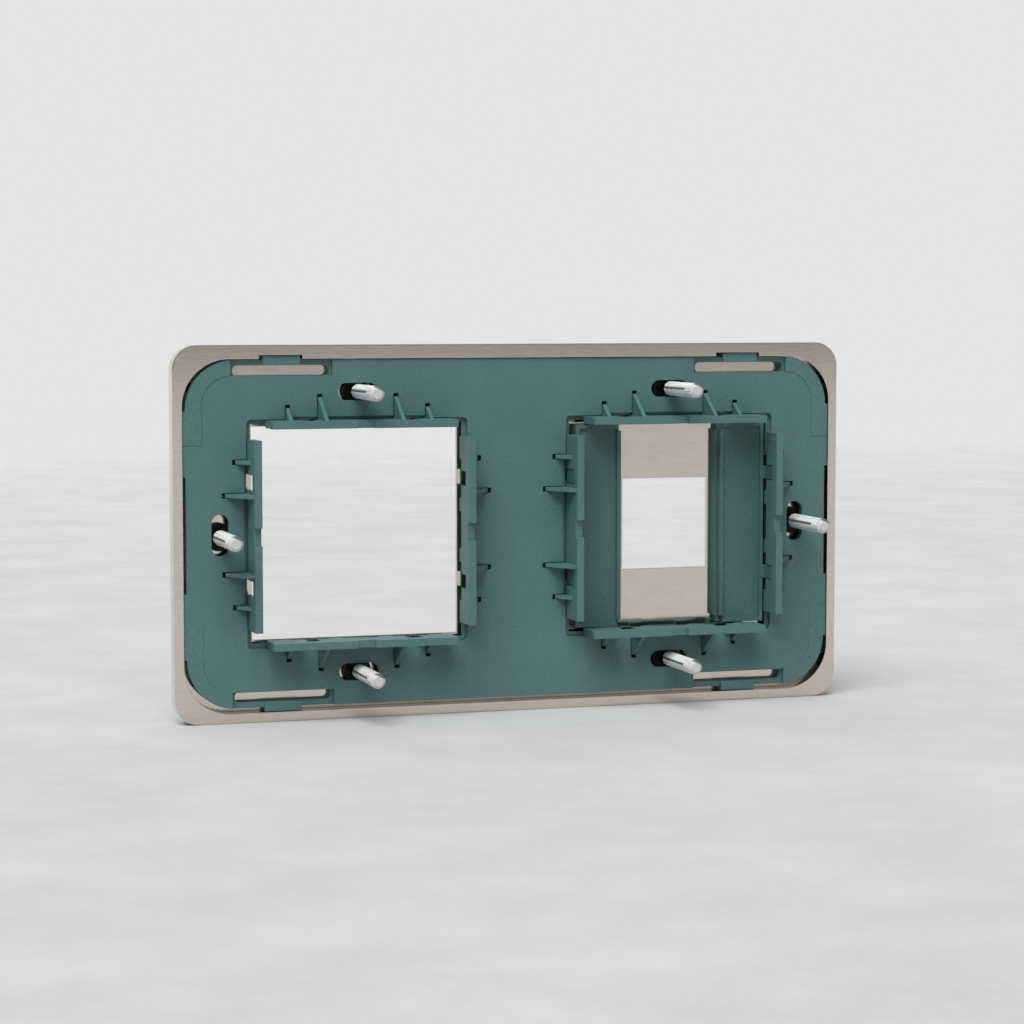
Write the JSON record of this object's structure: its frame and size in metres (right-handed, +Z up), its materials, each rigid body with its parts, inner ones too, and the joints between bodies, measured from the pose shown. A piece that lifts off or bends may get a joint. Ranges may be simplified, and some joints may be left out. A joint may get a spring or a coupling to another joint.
{
  "type": "wall plate",
  "caption": "Screwless metal wall plate with a moulded snap-in carrier behind it, an open module bay beside a bay blanked down to a small window.",
  "frame": {"origin": "centre of the plate on the wall plane, which is the back of the metal rim and the centre of the four gang fixings", "axes": "+X along the plate, to the right as seen from the room, with the large opening at +X; +Y into the wall; +Z up"},
  "size_m": [0.151, 0.0204, 0.08],
  "materials": {
    "plate_metal": "satin, warm grey",
    "carrier_plastic": "fine matt moulded, grey green",
    "screw_steel": "bright zinc plated"
  },
  "bodies": {
    "root": {"face_plate": "plate_metal", "carrier": "carrier_plastic", "filler_inner": "carrier_plastic", "filler_outer": "carrier_plastic", "screw_right_top": "screw_steel", "screw_right_bottom": "screw_steel", "screw_right_end": "screw_steel", "screw_left_top": "screw_steel", "screw_left_bottom": "screw_steel", "screw_left_end": "screw_steel"}
  },
  "joints": []
}
